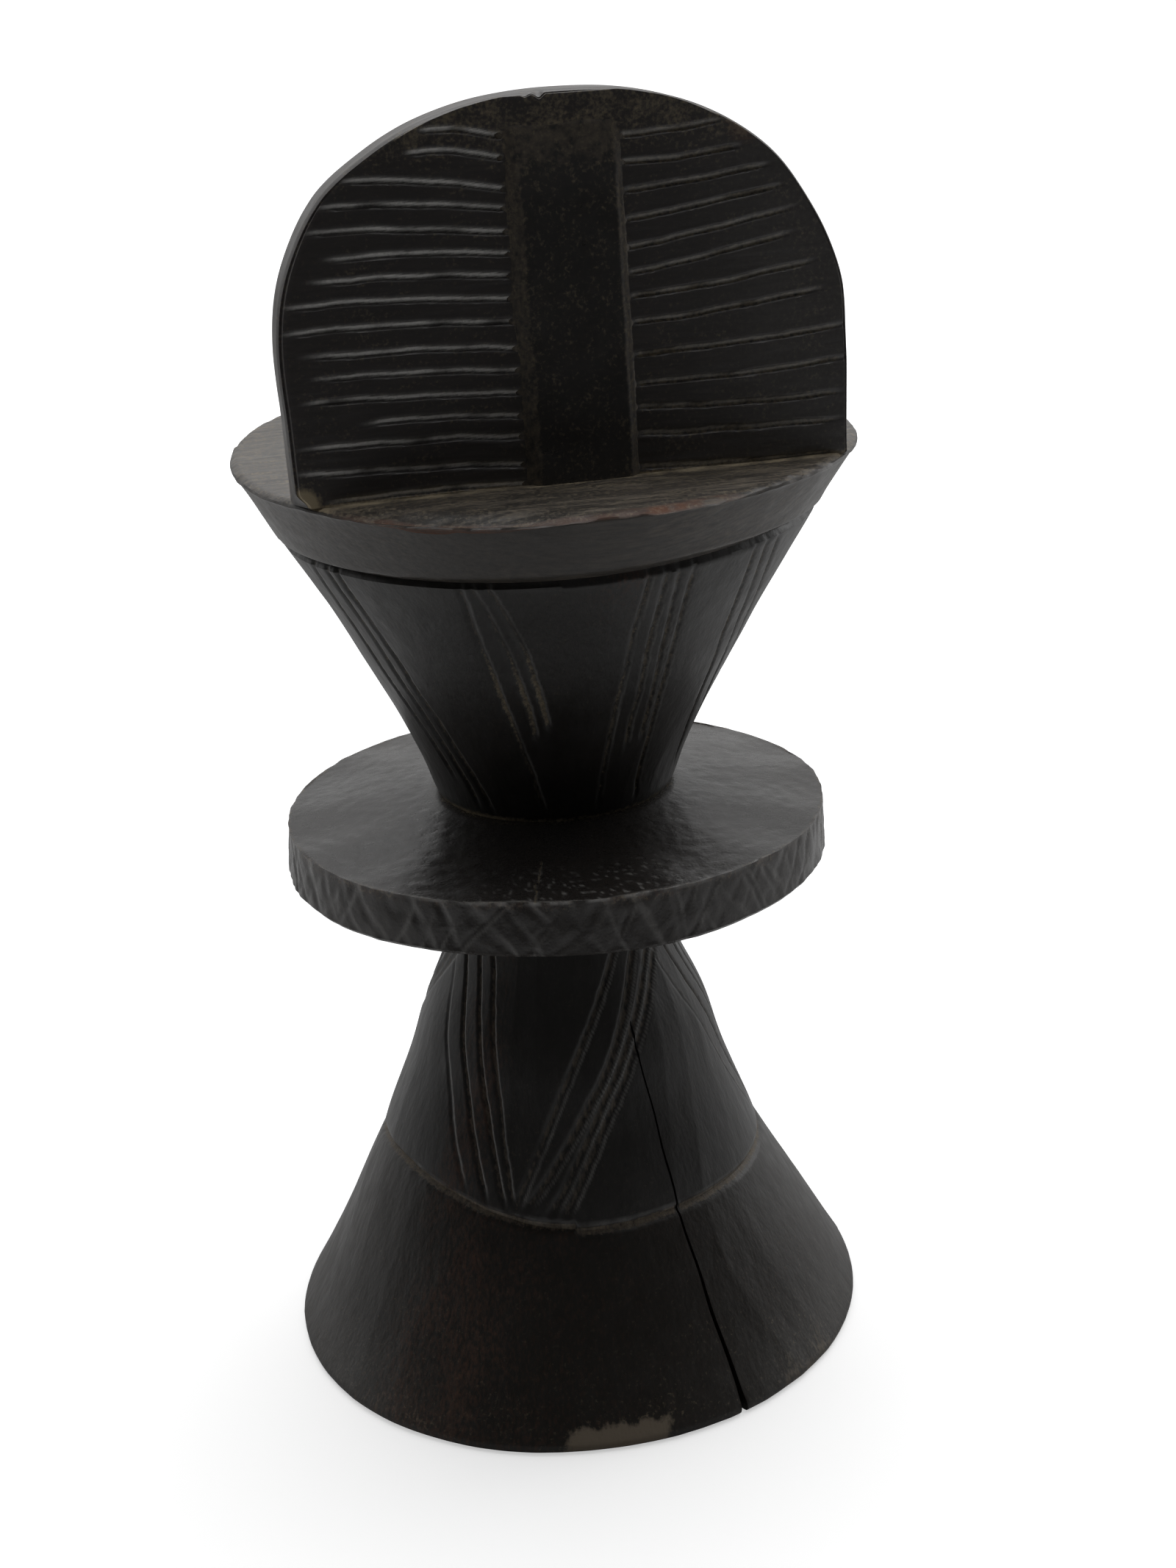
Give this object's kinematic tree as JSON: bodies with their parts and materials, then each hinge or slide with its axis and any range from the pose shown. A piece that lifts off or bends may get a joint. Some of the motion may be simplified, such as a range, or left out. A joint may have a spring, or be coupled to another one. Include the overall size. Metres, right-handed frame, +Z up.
{
  "type": "carved headrest",
  "caption": "Carved dark wood headrest: flared conical foot, waist disc, inverted cone, round platform and an upright round-topped plate with incised lines.",
  "frame": {"origin": "middle of the foot's underside, on the surface that the headrest stands on", "axes": "+Z up the carved axis; the upright plate's carved face looks towards -Y; +X is to the right of a person who faces the carved face"},
  "size_m": [0.0893, 0.0888, 0.1839],
  "materials": {
    "carved_wood": "dark stained, hand carved, semi-gloss with dusty grooves",
    "polished_wood": "dark stained, polished by handling",
    "worn_wood": "dark stained, edges worn to reddish brown"
  },
  "bodies": {
    "root": {"foot_skirt": "worn_wood", "foot_cone": "carved_wood", "waist_disc": "polished_wood", "upper_cone": "carved_wood", "platform": "worn_wood", "upright_plate": "carved_wood", "centre_band": "polished_wood"}
  },
  "joints": []
}
